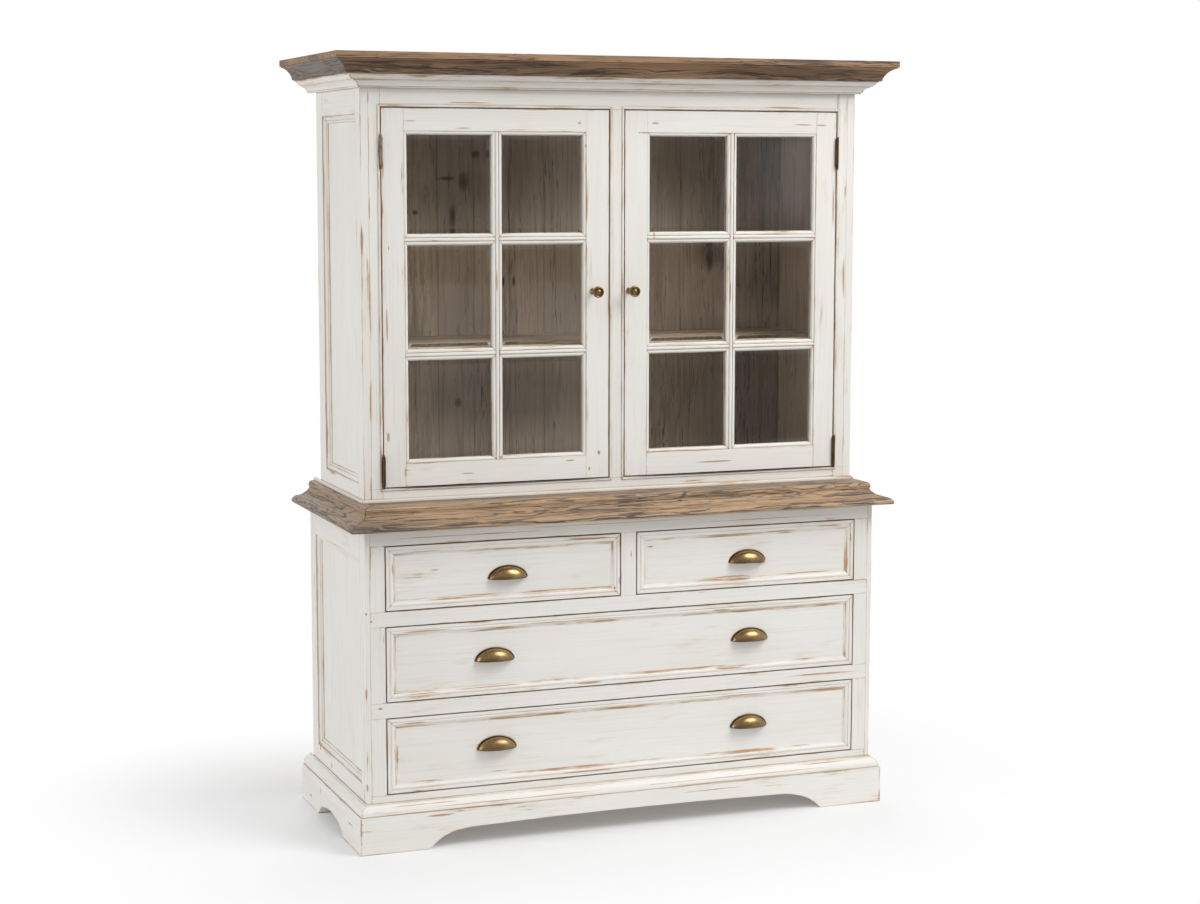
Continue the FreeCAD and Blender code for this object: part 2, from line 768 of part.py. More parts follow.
def hinge_pin(middle):
    """Pin with a small turned finial at each end."""
    half = hinge_height / 2
    axis_point = FreeCAD.Vector(-hinge_x, hinge_y, middle)
    pin = Part.makeCylinder(pin_radius, hinge_height, axis_point - UP * half)
    ball_middle = finial_length - finial_ball
    profile = [(3.6, 0), (3.6, 1.2), on_ball(finial_ball, ball_middle, -25)]
    profile.append(on_ball(finial_ball, ball_middle, 30) + on_ball(finial_ball, ball_middle, 90))
    for away in (UP, -UP):
        pin = pin.fuse(turned(profile, axis_point + away * half, away, RIGHT, finial_facets))
    return pin.removeSplitter()


def knob(centre_x):
    """Turned knob: a stepped foot, a waisted stem and a domed head with a ring round its face."""
    back = (knob_back_radius, knob_length - 0.6)
    crown = (knob_face_radius, knob_length - knob_face_radius)
    profile = [
        (8.4, 0), (8.4, 2), (7.2, 3.5), (5.4, 5.0), (4.3, 18, *on_ball(*back, -71)),
        on_ball(*back, -47) + on_ball(*back, -24), (15.6, knob_length - 4.6, 12.6, knob_length - 2.6),
        (10.9, knob_length - 3.5),
        on_ball(*crown, 60), on_ball(*crown, 75) + (0, knob_length),
    ]
    return turned(profile, FreeCAD.Vector(centre_x, door_face, knob_z), -REARWARD, RIGHT, knob_facets)


def doors():
    members, limits = door_members()
    panes, beads = door_glass_and_beads()
    bars = door_bars(limits)
    half_gap = door_gap / 2
    frame_knuckles, door_knuckles = (0, 2), (1,)
    frame_leaves = [
        hinge_leaf(middle, frame_knuckles, door_knuckles, -hinge_x - half_gap, -hinge_x - half_gap + leaf_thick)
        for middle in hinge_z]
    door_leaves = [
        hinge_leaf(middle, door_knuckles, frame_knuckles, -hinge_x + half_gap - leaf_thick, -hinge_x + half_gap)
        for middle in hinge_z]
    pins = [hinge_pin(middle) for middle in hinge_z]
    for side in ("left", "right"):
        hand = (lambda shape: shape) if side == "left" else mirrored
        write("door_" + side + "_frame", [hand(piece) for piece in members])
        write("door_" + side + "_glazing_bars", [hand(piece) for piece in bars])
        write("door_" + side + "_glass", [hand(piece) for piece in panes])
        write("door_" + side + "_glass_mouldings", [hand(piece) for piece in beads])
        write("door_" + side + "_hinge_leaves", [hand(piece) for piece in door_leaves])
        write("door_" + side + "_knob", [knob(knob_x[side])])
    write("hinge_frame_leaves", frame_leaves + [mirrored(leaf) for leaf in frame_leaves])
    write("hinge_pins", pins + [mirrored(pin) for pin in pins])


def main():
    os.makedirs("parts", exist_ok=True)
    plinth_boards()
    plinth_inside()
    plinth_cap()
    sides()
    base_face_frame()
    base_inside()
    for name in drawer_columns:
        drawer(name)
    waist()
    hutch_face_frame()
    opening_beads()
    back_planks()
    hutch_boards()
    hutch_foot_strip()
    crown()
    doors()


if __name__ == "__main__":
    main()
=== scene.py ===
import json
import math
import random

import bmesh
import bpy
from mathutils import Euler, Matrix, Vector

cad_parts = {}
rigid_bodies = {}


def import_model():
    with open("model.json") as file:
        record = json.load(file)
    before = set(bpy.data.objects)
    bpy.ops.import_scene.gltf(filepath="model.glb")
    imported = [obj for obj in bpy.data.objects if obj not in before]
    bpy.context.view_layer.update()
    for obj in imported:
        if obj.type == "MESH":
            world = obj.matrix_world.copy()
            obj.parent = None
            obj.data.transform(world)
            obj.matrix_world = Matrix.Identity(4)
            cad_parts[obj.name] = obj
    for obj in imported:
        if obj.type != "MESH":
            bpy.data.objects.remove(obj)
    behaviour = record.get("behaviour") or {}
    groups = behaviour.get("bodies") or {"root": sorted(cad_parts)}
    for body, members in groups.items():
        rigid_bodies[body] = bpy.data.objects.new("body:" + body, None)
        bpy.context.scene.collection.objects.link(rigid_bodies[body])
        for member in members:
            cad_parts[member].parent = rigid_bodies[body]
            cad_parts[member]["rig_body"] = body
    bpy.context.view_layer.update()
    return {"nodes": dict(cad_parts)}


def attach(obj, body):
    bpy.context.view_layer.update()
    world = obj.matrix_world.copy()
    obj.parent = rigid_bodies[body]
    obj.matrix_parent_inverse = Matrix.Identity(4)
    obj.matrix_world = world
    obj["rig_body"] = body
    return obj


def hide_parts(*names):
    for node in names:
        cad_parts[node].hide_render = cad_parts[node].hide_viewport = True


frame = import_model()
slots = {name: node.data.materials[0].name for name, node in frame["nodes"].items()}

MM = 0.001

# ---- colours, linear, as the surface shows them in plain light -----------------------------------
PAINT = (0.830, 0.812, 0.768)
PAINT_AGED = (0.650, 0.600, 0.520)
PAINT_THIN = (0.640, 0.520, 0.380)
# dirt and painted shade in corners: brown lines along creases, and near black deep in grooves and gaps
CREASE_DIRT_AND_SHADE = (0.500, 0.345, 0.215)
DEEP_DIRT_AND_SHADE = (0.075, 0.042, 0.023)
BARE_LIGHT = (0.540, 0.315, 0.152)
BARE_DARK = (0.330, 0.168, 0.076)
KNOT = (0.110, 0.045, 0.020)
# painted shade: the dark of the gaps beside doors and hinges
GAP_SHADE_COLOUR = (0.030, 0.018, 0.012)
OLD_COAT = (0.300, 0.240, 0.180)   # what is left of the paint on a hinge
GLASS = (0.985, 0.995, 0.990, 1.0)
WHITE = (1.0, 1.0, 1.0)
SOFTBOX_TINT = (0.84, 0.93, 1.0)

# ---- light levels --------------------------------------------------------------------------------
AMBIENT = 0.55                     # what the room gives the object
DIM_ROOM = 0.20                    # what mirrors see in front of the piece

# ---- sizes that repeat ---------------------------------------------------------------------------
EDGE = 0.8 * MM                    # rounding of a board's edges
FINE_EDGE = 0.4 * MM               # and where boards meet flush
PLINTH_REACH = (0.78, 0.33, 0.0)   # the plinth's half sizes on the floor
SHARP = math.radians(38)           # the angle from which an edge shows
METAL_SHARP = math.radians(50)


# ==== small helpers for shaders ===================================================================
class Shader:
    """Builds the node tree of a new material or world in short calls."""

    def __init__(self, owner):
        owner.use_nodes = True
        self.owner = owner
        self.tree = owner.node_tree
        self.tree.nodes.clear()

    def node(self, kind, inputs=None, **settings):
        made = self.tree.nodes.new("ShaderNode" + kind)
        for key, value in settings.items():
            setattr(made, key, value)
        for key, value in (inputs or {}).items():
            if isinstance(value, bpy.types.NodeSocket):
                self.tree.links.new(value, made.inputs[key])
            else:
                made.inputs[key].default_value = value
        return made

    def grain(self):
        """Place on the board: x runs along the grain, with a start of its own for each board."""
        return self.node("Attribute", attribute_name="grain").outputs["Vector"]

    def board(self):
        """A number from 0 to 1 that is the same all over one board."""
        return self.node("Attribute", attribute_name="board").outputs["Fac"]

    def place(self):
        return self.node("TexCoord").outputs["Object"]

    def stretched(self, vector, along, across, shift=0.0):
        return self.node("Mapping", {
            "Vector": vector, "Location": (shift, shift * 0.7, shift * 1.3),
            "Scale": (along, across, across),
        }).outputs["Vector"]

    def noise(self, vector, scale=1.0, detail=4.0, rough=0.5, distort=0.0):
        return self.node("TexNoise", {
            "Vector": vector, "Scale": scale, "Detail": detail, "Roughness": rough, "Distortion": distort,
        }).outputs["Fac"]

    def span(self, value, low, high, to_low=0.0, to_high=1.0, smooth=False):
        return self.node("MapRange", {
            "Value": value, "From Min": low, "From Max": high, "To Min": to_low, "To Max": to_high,
        }, interpolation_type="SMOOTHSTEP" if smooth else "LINEAR").outputs["Result"]

    def math(self, operation, *values):
        return self.node("Math", dict(enumerate(values)), operation=operation).outputs[0]

    def sum(self, a, b):
        return self.math("ADD", a, b)

    def product(self, a, b):
        return self.math("MULTIPLY", a, b)

    def less(self, a, b):
        return self.math("SUBTRACT", a, b)

    def highest(self, a, b):
        return self.math("MAXIMUM", a, b)

    def lowest(self, a, b):
        return self.math("MINIMUM", a, b)

    def size(self, value):
        return self.math("ABSOLUTE", value)

    def vector(self, operation, *values):
        return self.node("VectorMath", dict(enumerate(values)), operation=operation).outputs[0]

    def length(self, vector):
        return self.node("VectorMath", {0: vector}, operation="LENGTH").outputs["Value"]

    def parts(self, vector):
        """The x, y and z of a vector."""
        return self.node("SeparateXYZ", {0: vector}).outputs

    def weighted(self, *pairs):
        """Sum of values, each times its weight."""
        total = self.product(*pairs[0])
        for value, weight in pairs[1:]:
            total = self.math("MULTIPLY_ADD", value, weight, total)
        return total

    def swing(self, noise):
        """A noise about 0 with most of its values between -1 and 1."""
        return self.math("MULTIPLY_ADD", noise, 5.0, -2.5)

    def contours(self, value, count):
        """Lines along which a value stays the same, like growth rings: 1 on a line and -1 between."""
        return self.math("SINE", self.product(value, 2 * math.pi * count))

    def off_mitre(self, corner):
        """Distance from the planes of the two front mitres; corner is as front_corner gives it."""
        across, forward, _ = self.parts(self.place())
        return self.size(self.less(self.sum(self.size(across), forward), corner))

    def rim(self):
        """Distance to the nearest edge of the board: the middle one of the three distances to its sides."""
        low = self.node("Attribute", attribute_name="low").outputs["Vector"]
        high = self.node("Attribute", attribute_name="high").outputs["Vector"]
        a, b, c = self.parts(self.vector("MINIMUM", low, high))
        return self.highest(self.lowest(a, b), self.lowest(self.highest(a, b), c))

    def ovals(self, places):
        """0 in the middle of the nearest oval and 1 on its edge; each is a centre and half sizes, in mm."""
        nearest = None
        for centre, half in places:
            inside = self.node("Mapping", {
                "Vector": self.place(), "Location": [-c / h for c, h in zip(centre, half)],
                "Scale": [1 / (h * MM) for h in half],
            }).outputs["Vector"]
            reach = self.length(inside)
            nearest = reach if nearest is None else self.lowest(nearest, reach)
        return nearest

    def colours(self, factor, a, b):
        """Colour a where the factor is 0 and b where it is 1."""
        made = self.node("Mix", {0: factor}, data_type="RGBA")
        for key, value in ((6, a), (7, b)):
            if isinstance(value, bpy.types.NodeSocket):
                self.tree.links.new(value, made.inputs[key])
            else:
                made.inputs[key].default_value = (*value, 1.0)
        return made.outputs[2]

    def convex(self, distance):
        """0 on a flat face, rising towards an outer edge of the piece itself."""
        made = self.node("AmbientOcclusion", {"Distance": distance}, samples=6, inside=True,
                         only_local=True)
        return self.less(1.0, made.outputs["AO"])

    def hollow(self, distance):
        """0 on an open face, rising in a corner or a groove."""
        made = self.node("AmbientOcclusion", {"Distance": distance}, samples=6)
        return self.less(1.0, made.outputs["AO"])

    def bump(self, height, distance, strength):
        made = self.node("Bump", {"Height": height, "Distance": distance, "Strength": strength})
        return made.outputs["Normal"]

    def finish(self, **inputs):
        """Ends the tree in a Principled shader with these inputs; underscores stand for spaces."""
        made = self.node("BsdfPrincipled", {key.replace("_", " "): value for key, value in inputs.items()})
        self.node("OutputMaterial", {"Surface": made.outputs["BSDF"]})
        return self.owner


# ==== materials ===================================================================================
def painted_wood(name, strokes, shaded_gaps=(), wear=0.5, rubbed=0.0, crease_dirt_and_shade_level=0.8, age_and_shade=0.0):
    """Off-white paint on pine, rubbed through to the wood along edges and the grain.

    wear is how far the ends and rims of boards are rubbed, rubbed adds to it all over,
    crease_dirt_and_shade_level is how brown the lines in corners are, which are dirt and painted shade,
    shaded_gaps are painted shade: dark ovals beside doors and hinges, and age_and_shade dulls the
    paint all over, on the foot strip as painted shade.
    """
    s = Shader(bpy.data.materials.new(name))
    grain = s.grain()
    streaks = s.noise(s.stretched(grain, 9, 215), detail=4, rough=0.62)
    fibres = s.noise(s.stretched(grain, 3.2, 170, 3.1), detail=5, rough=0.75)
    patches = s.noise(s.stretched(grain, 2.0, 9, 7.7), detail=3, rough=0.55)
    clusters = s.noise(s.stretched(grain, 5.5, 26, 1.9), detail=3, rough=0.6)
    fine, coarse = s.swing(streaks), s.swing(clusters)

    worn, thin = rubbed_through(s, fine, coarse, strokes, wear, rubbed)
    # Dirt and painted shade: ambient occlusion darkens corners and grooves, first to brown lines, then to
    # near black.
    hollow = s.hollow(4.5 * MM)
    lined = s.span(s.weighted((hollow, 1.0), (coarse, 0.10), (fine, 0.05)), 0.12, 0.42, 0.0, crease_dirt_and_shade_level)
    deep = s.span(hollow, 0.45, 0.90, 0.0, 0.95)

    # Dulled paint: patches of age, and an even dulling which on the foot strip is painted shade.
    paint = s.colours(s.span(patches, 0.35, 0.75, age_and_shade, 0.22 + age_and_shade), PAINT, PAINT_AGED)
    paint = s.colours(s.span(fibres, 0.50, 0.75, 0.0, 0.42), paint, PAINT_AGED)
    paint = s.colours(thin, paint, PAINT_THIN)
    paint = s.colours(lined, paint, CREASE_DIRT_AND_SHADE)
    wood = s.colours(s.span(streaks, 0.42, 0.70), BARE_LIGHT, BARE_DARK)
    colour = s.colours(worn, paint, wood)
    colour = s.colours(deep, colour, DEEP_DIRT_AND_SHADE)
    # Painted shade: dark ovals in the gaps beside the doors and hinges.
    if shaded_gaps:
        colour = s.colours(s.span(s.ovals(shaded_gaps), 1.1, 0.7, 0.0, 0.9), colour, GAP_SHADE_COLOUR)

    height = s.weighted((fibres, 0.6), (worn, -0.8))
    return s.finish(
        Base_Color=colour, Roughness=s.span(worn, 0, 1, 0.52, 0.74), Normal=s.bump(height, 0.30 * MM, 0.6),
    )


def rubbed_through(s, fine, coarse, strokes, wear, rubbed):
    """How far the paint is worn down to the wood, and how far it is only thin."""
    rim = s.rim()
    near = s.sum(s.span(rim, 0.045, 0.0), s.span(rim, 0.010, 0.003, 0.0, wear))
    edge = s.lowest(s.convex(3.4 * MM), 0.4)
    on_edge = s.weighted((edge, 3.0), (fine, 0.5), (coarse, 0.9))
    on_face = s.weighted((fine, 0.9), (coarse, 0.9), (near, 0.55), (1.0, rubbed))
    in_stroke = s.weighted((s.ovals(strokes), -2.2), (fine, 0.7))
    worn = s.highest(s.span(on_edge, 1.15, 1.8, 0.0, 0.90), s.span(on_face, 1.72, 2.2, 0.0, 0.85))
    worn = s.highest(worn, s.span(in_stroke, -2.0, -1.2, 0.0, 0.88))
    thin = s.highest(s.span(on_edge, 0.5, 1.5, 0.0, 0.55), s.span(on_face, 1.1, 2.1, 0.0, 0.50))
    return worn, thin


def swayed_grain(s):
    """Place on the board, swaying across the grain as a growing tree does."""
    grain = s.grain()
    sway = s.noise(s.stretched(grain, 3.6, 11, 5.0), detail=3)
    offset = s.node("CombineXYZ", {
        "Y": s.span(sway, 0, 1, -0.020, 0.020), "Z": s.span(sway, 0, 1, 0.020, -0.020),
    }).outputs[0]
    return s.vector("ADD", grain, offset)


def aged_wood(name, tints, checked, rough=0.62, shine=0.5, rings_across=95, lined=0.0, line_count=8,
              knots=(), stains_and_shade=(), stain_and_shade_depth=0.5, mitre=None):
    """Old wood: growth lines, darker bands, fibres and fine checks; some boards are greyer.

    tints are the light, middle and dark wood and the grey of a weathered board; checked is how many
    checks it has, lined how dark its growth lines are, and stain_and_shade_depth how dark the ovals of
    stains_and_shade are: stains on the crown, dark patches on the waist, painted shade on the back planks.
    """
    light, middle, dark, grey = tints
    deep = tuple(0.62 * part for part in dark)
    crack = tuple(0.28 * part for part in dark)
    s = Shader(bpy.data.materials.new(name))
    swayed = swayed_grain(s)
    rings = s.noise(s.stretched(swayed, 2.4, rings_across), detail=5, rough=0.62, distort=0.3)
    bands = s.noise(s.stretched(swayed, 1.3, 16, 2.0), detail=3, rough=0.5)
    fibres = s.noise(s.stretched(swayed, 7, 330, 4.0), detail=4, rough=0.65)
    streaks = s.noise(s.stretched(swayed, 4.5, 250, 9.0), detail=4, rough=0.62, distort=0.2)

    colour = s.colours(s.span(rings, 0.40, 0.60), light, middle)
    colour = s.colours(s.span(bands, 0.50, 0.68, 0.0, 0.45), colour, dark)
    colour = s.colours(s.span(fibres, 0.46, 0.66, 0.0, 0.45), colour, dark)
    colour = s.colours(s.span(s.board(), 0, 1, 0.0, 0.9), colour, grey)
    if lined:
        slope = s.noise(s.stretched(swayed, 0.8, 16, 6.0), detail=2, rough=0.45)
        lines = s.contours(slope, line_count)
        lines = s.weighted((lines, 1.0), (s.swing(streaks), 0.45), (s.swing(bands), 0.35))
        colour = s.colours(s.span(lines, 0.45, 0.92, 0.0, lined), colour, deep)
    cracking = s.weighted((streaks, 1.0), (s.swing(bands), 0.05))
    # Dark ovals: stains on the crown, dark patches on the waist, painted shade on the back planks.
    if stains_and_shade:
        ragged = s.weighted((s.ovals(stains_and_shade), 1.0), (s.swing(bands), 0.12), (s.swing(rings), 0.06))
        in_stain_and_shade = s.span(ragged, 1.15, 0.45)
        colour = s.colours(s.product(in_stain_and_shade, stain_and_shade_depth), colour, deep)
        cracking = s.weighted((cracking, 1.0), (in_stain_and_shade, 0.055 * checked))
    first_crack = 0.66 - 0.12 * checked
    split = s.span(cracking, first_crack, first_crack + 0.07)
    if knots:
        ragged = s.weighted((s.ovals(knots), 1.0), (s.swing(rings), 0.28), (s.swing(fibres), 0.14))
        colour = s.colours(s.span(ragged, 1.7, 0.8, 0.0, 0.80), colour, KNOT)
        split = s.highest(split, s.span(ragged, 0.45, 0.25))
    colour = s.colours(s.product(split, 0.85), colour, crack)
    colour = s.colours(s.span(s.convex(4 * MM), 0.15, 0.7, 0.0, 0.30), colour, light)
    if mitre is not None:
        colour = s.colours(s.span(s.off_mitre(mitre), 2.6 * MM, 1.2 * MM, 0.0, 0.75), colour, crack)

    height = s.weighted((rings, 0.5), (fibres, 0.4), (split, -1.2))
    return s.finish(
        Base_Color=colour, Roughness=s.span(fibres, 0.3, 0.7, rough - 0.08, rough + 0.10),
        Specular_IOR_Level=shine, Normal=s.bump(height, 0.5 * MM, 0.6),
    )


def pane_glass():
    """Clear glass; rays from the lamps pass straight through to the shelves."""
    s = Shader(bpy.data.materials.new("pane_glass"))
    smears = s.noise(s.place(), scale=7, detail=3)
    glass = s.node("BsdfPrincipled", {
        "Base Color": GLASS, "Roughness": s.span(smears, 0.3, 0.7, 0.0, 0.012), "IOR": 1.46,
        "Transmission Weight": 1.0,
    })
    clear = s.node("BsdfTransparent", {"Color": GLASS})
    shadow = s.node("LightPath").outputs["Is Shadow Ray"]
    mixed = s.node("MixShader", {0: shadow, 1: glass.outputs[0], 2: clear.outputs[0]})
    s.node("OutputMaterial", {"Surface": mixed.outputs[0]})
    return s.owner


def brass(name, bright, dull, rough, coat=0.3, overpainted=None):
    """Lacquered metal, brown and duller in its hollows.

    overpainted gives how far old paint still covers its front, at the left and at the right.
    """
    s = Shader(bpy.data.materials.new(name))
    place = s.place()
    clouds = s.noise(place, scale=45, detail=4, rough=0.6)
    specks = s.noise(place, scale=900, detail=3, rough=0.6)
    hollow = s.hollow(6 * MM)
    age = s.weighted((s.span(clouds, 0.35, 0.70), 0.7), (hollow, 0.9))
    colour = s.colours(s.span(age, 0.15, 1.15), bright, dull)
    covered = 0.0
    if overpainted is not None:
        left, right = overpainted
        across, forward, high = s.parts(place)
        amount = s.product(s.span(across, -0.1, 0.1, left, right), s.span(forward, -0.189, -0.192))
        amount = s.product(amount, s.span(high, 1.3, 1.6, 0.2, 1.0))    # the lower hinges are nearly bare
        ragged = s.weighted((amount, 2.0), (s.swing(clouds), 0.4), (hollow, -0.6))
        covered = s.span(ragged, 0.4, 1.3, 0.0, 0.85)
        colour = s.colours(covered, colour, OLD_COAT)
    metal = s.less(1.0, covered)
    return s.finish(
        Base_Color=colour, Metallic=metal, Roughness=s.span(age, 0.1, 1.2, rough, rough + 0.22),
        Coat_Weight=coat, Coat_Roughness=0.16, Normal=s.bump(specks, 0.02 * MM, 0.12),
    )


# ==== meshes ======================================================================================
def solids_of(mesh):
    """The closed shells of a node's mesh, each as a list of faces given by their corners."""
    shells, faces, open_edges = [], [], set()
    for polygon in mesh.polygons:
        corners = [tuple(round(c, 6) for c in mesh.vertices[v].co) for v in polygon.vertices]
        faces.append(corners)
        for a, b in zip(corners, corners[1:] + corners[:1]):
            if (b, a) in open_edges:
                open_edges.remove((b, a))
            else:
                open_edges.add((a, b))
        if not open_edges:
            shells.append(faces)
            faces = []
    return shells


def eased_board(bm, faces, ease):
    """Adds one shell to bm with its outer edges rounded, and returns its new vertices."""
    part = bmesh.new()
    known = {}
    for corners in faces:
        for corner in corners:
            if corner not in known:
                known[corner] = part.verts.new(corner)
        if len(set(corners)) > 2:
            part.faces.new([known[corner] for corner in corners])
    bmesh.ops.dissolve_limit(part, angle_limit=0.004, verts=part.verts, edges=part.edges)
    part.normal_update()
    sharp = [edge for edge in part.edges
             if len(edge.link_faces) == 2 and edge.is_convex and edge.calc_face_angle() > SHARP]
    bmesh.ops.bevel(part, geom=sharp, offset=ease, segments=2, profile=0.5, affect="EDGES",
                    clamp_overlap=True)
    part.verts.index_update()
    made = [bm.verts.new(vertex.co) for vertex in part.verts]
    for face in part.faces:
        bm.faces.new([made[vertex.index] for vertex in face.verts]).smooth = True
    part.free()
    return made


def stand_for(node, name, bm, materials, sharp):
    """Makes the piece that stands for a CAD node."""
    mesh = bpy.data.meshes.new(name)
    bm.to_mesh(mesh)
    bm.free()
    for material in materials:
        mesh.materials.append(material)
    mesh.set_sharp_from_angle(angle=sharp)
    piece = bpy.data.objects.new(name, mesh)
    bpy.context.scene.collection.objects.link(piece)
    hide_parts(node)
    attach(piece, frame["nodes"][node]["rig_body"])
    return piece


def boards(node, material, ease=EDGE, tones=None, inner=None, faces_in=None):
    """Stands for a CAD node: the same boards with eased edges and grain of their own.

    tones are the greys of the boards in turn; inner is a second material, for the faces whose
    normals faces_in picks.
    """
    draw = random.Random(node)
    bm = bmesh.new()
    grains, lows, highs, greys = [], [], [], []
    for index, faces in enumerate(solids_of(frame["nodes"][node].data)):
        vertices = eased_board(bm, faces, ease)
        low = Vector([min(v.co[i] for v in vertices) for i in range(3)])
        high = Vector([max(v.co[i] for v in vertices) for i in range(3)])
        axis = max(range(3), key=lambda i: high[i] - low[i])
        start = [draw.uniform(0, 40) for _ in range(3)]
        tone = draw.random()
        for vertex in vertices:
            grains += [vertex.co[(axis + turn) % 3] + start[turn] for turn in range(3)]
            lows += list(vertex.co - low)
            highs += list(high - vertex.co)
            greys.append(tone if tones is None else tones[index])
    piece = stand_for(node, node + "_boards", bm, [material] if inner is None else [material, inner], SHARP)
    mesh = piece.data
    for name, values in (("grain", grains), ("low", lows), ("high", highs)):
        mesh.attributes.new(name, "FLOAT_VECTOR", "POINT").data.foreach_set("vector", values)
    mesh.attributes.new("board", "FLOAT", "POINT").data.foreach_set("value", greys)
    if inner is not None:
        for polygon in mesh.polygons:
            polygon.material_index = int(faces_in(polygon.normal))
    piece.modifiers.new("weighted", "WEIGHTED_NORMAL").keep_sharp = True


def on_front(y, marks, deep=14):
    """Marks on a face across the front, each given by x, z and its half width and height in mm."""
    return [((x, y, z), (wide, deep, high)) for x, z, wide, high in marks]


def on_side(x, marks, deep=14):
    """Marks on the left side, each given by y, z and its half width and height in mm."""
    return [((x, y, z), (deep, wide, high)) for y, z, wide, high in marks]


# The planes that the marks lie on, in mm.
CHEST_FRONT, HUTCH_FRONT, PLINTH_FRONT, WAIST_FRONT, CROWN_FRONT = -279, -187, -300, -326, -250
CHEST_LEFT, HUTCH_LEFT, PLINTH_LEFT = -743, -718, -769
PLANK_FRONT = 252

# Where the paint is rubbed through, and the marks on the bare wood, all in mm.
# A material holds at most about twenty of these; many more overflow Cycles' shader stack.
STROKES = {
    "drawer_top_left": on_front(CHEST_FRONT, [
        (-583, 800, 74, 2.0), (-376, 794, 115, 3.4), (-120, 809, 81, 3.6), (-27, 688, 2.5, 15),
        (-40, 668, 3, 6), (-422, 674, 112, 2.6), (-219, 674, 100, 2.0), (-550, 748, 14, 2.5),
        (-668, 760, 3, 20),
    ]),
    "drawer_top_right": on_front(CHEST_FRONT, [
        (341, 796, 55, 2.0), (454, 797, 59, 3.2), (605, 805, 49, 2.6), (66, 775, 10, 3), (677, 767, 3, 14),
        (292, 677, 96, 3.8), (516, 675, 119, 2.0), (401, 711, 23, 3.4),
    ]),
    "drawer_middle": on_front(CHEST_FRONT, [
        (-587, 587, 72, 2.6), (-429, 600, 42, 3.2), (-152, 586, 184, 2.0), (-401, 422, 124, 2.6),
        (-113, 411, 51, 3.8), (-598, 419, 66, 2.0), (275, 586, 36, 2.6), (563, 601, 107, 2.6),
        (305, 419, 50, 3.2),
    ]),
    "drawer_bottom": on_front(CHEST_FRONT, [
        (-621, 341, 41, 2.0), (-380, 188, 41, 2.0), (-109, 164, 88, 2.6), (-658, 250, 3, 50),
        (330, 340, 90, 2.2), (520, 178, 60, 2.4),
    ]),
    "chest": on_front(CHEST_FRONT, [
        (-552, 130, 142, 2.0), (-742, 429, 3, 19), (-742, 176, 3, 13), (-741, 643, 4, 5), (-727, 622, 4, 5),
        (7, 759, 2.5, 14), (600, 381, 110, 3.0), (-705, 388, 8, 4), (-420, 838, 250, 1.6),
        (-80, 847, 260, 1.4), (400, 836, 260, 1.6),
    ]) + on_side(CHEST_LEFT, [(258, 640, 3, 34), (214, 650, 3, 26), (214, 172, 8, 9), (90, 150, 5, 14)]),
    "plinth": on_front(PLINTH_FRONT, [
        (-500, 103, 200, 1.5), (-150, 126, 260, 1.5), (350, 104, 220, 1.5), (-548, 90, 46, 4),
        (-600, 122, 150, 1.5), (-330, 113, 300, 1.3), (250, 84, 120, 1.8), (610, 125, 90, 1.8),
        (330, 114, 300, 1.3),
    ], 18) + on_side(PLINTH_LEFT, [(120, 70, 5, 9), (230, 30, 14, 5), (-200, 60, 30, 3)]),
    "hutch": on_front(HUTCH_FRONT, [
        (-416, 1975, 69, 2.4), (-716, 1614, 4, 45), (-695, 1696, 3, 36), (-696, 1984, 3, 24),
        (22, 1614, 3, 50), (-697, 1200, 3, 70), (690, 1500, 4, 60), (500, 1972, 80, 2.2),
    ]) + on_side(HUTCH_LEFT, [(60, 1840, 34, 3), (-10, 1835, 3, 12), (120, 1500, 3, 60)]),
    "door_left": on_front(HUTCH_FRONT, [
        (-580, 1926, 18, 1.8), (-437, 1908, 30, 2.4), (-657, 1800, 3, 34), (-644, 1595, 3, 9),
        (-90, 1864, 3, 7), (-108, 1925, 9, 4), (-650, 1390, 3, 60), (-88, 1700, 3, 60),
        (-345, 1500, 3, 40), (-430, 990, 24, 2.4),
        (-336, 1030, 8, 3), (-136, 1012, 16, 3), (-80, 987, 4, 6), (-52, 1030, 4, 7), (-650, 1095, 4, 16),
        (-603, 1000, 3, 18),
    ]),
    "door_right": on_front(HUTCH_FRONT, [
        (655, 1700, 3, 70), (80, 1900, 22, 2.5), (560, 1925, 40, 2.4), (110, 1640, 3, 40),
        (340, 1460, 3, 40), (300, 990, 60, 2.6), (113, 1925, 14, 3), (614, 1924, 20, 2.6),
    ]),
}
DOOR_GAP_SHADOWS = on_front(HUTCH_FRONT, [        # painted shade: dark ovals beside the two left hinges and below the doors, where the gaps lie in shadow
    (-667, 1848, 3.4, 36), (-667, 1006, 3.4, 36), (-343, 958, 340, 2.7), (343, 958, 340, 2.3),
], 20)
PLANK_KNOTS = on_front(PLANK_FRONT, [
    (-259, 1843, 9, 9), (-294, 1767, 13, 21), (-345, 1775, 20, 5), (-329, 1667, 7, 26),
    (-146, 1481, 3.5, 12), (-440, 1680, 7, 5), (520, 1700, 6, 9), (470, 1540, 9, 30),
    (250, 1130, 8, 12), (-316, 1136, 8, 10),
])
# Painted shade on the back planks: dark ovals over the top compartments and the lower ones, where the
# inside of the cabinet lies in shadow; the wood shows a few more checks inside them.
PLANK_SHADE = on_front(PLANK_FRONT, [
    (-300, 1810, 360, 200), (520, 1840, 420, 180), (-200, 1150, 330, 120), (560, 1120, 420, 240),
    (480, 1560, 80, 60), (800, 1480, 330, 140),
], 11)
# Darker ovals on the waist's front: a wide one at its left end and two thin ones further along.
WAIST_DARK_PATCHES = on_front(WAIST_FRONT, [
    (-770, 890, 220, 60), (-400, 902, 110, 16), (260, 905, 120, 12),
], 60)
CROWN_STAINS = on_front(CROWN_FRONT, [(470, 2064, 300, 24), (-60, 2056, 120, 8)], 60)


DRAWERS = ("top_left", "top_right", "middle", "bottom")


